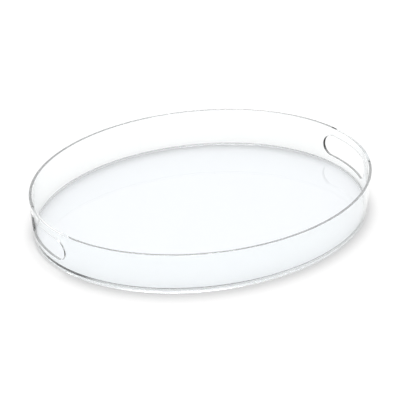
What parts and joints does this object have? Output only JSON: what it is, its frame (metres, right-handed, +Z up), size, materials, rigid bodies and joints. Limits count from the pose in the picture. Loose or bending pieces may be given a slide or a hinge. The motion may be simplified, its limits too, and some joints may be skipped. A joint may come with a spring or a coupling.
{
  "type": "oval vanity tray",
  "caption": "Clear acrylic oval vanity tray: low bent wall with a slot hand-hold at each end, cemented round a flat floor.",
  "frame": {"origin": "on the surface the tray stands on, under the middle of the tray", "axes": "+X along the length, through both hand-holds; +Y to the back, where the wall's seam is; +Z up"},
  "size_m": [0.406, 0.333, 0.0485],
  "materials": {
    "clear_sheet": "clear, polished",
    "clear_cement": "clear, as set"
  },
  "bodies": {
    "root": {"wall_band": "clear_sheet", "wall_seam_bond": "clear_cement", "floor_plate": "clear_sheet", "floor_bond": "clear_cement"}
  },
  "joints": []
}
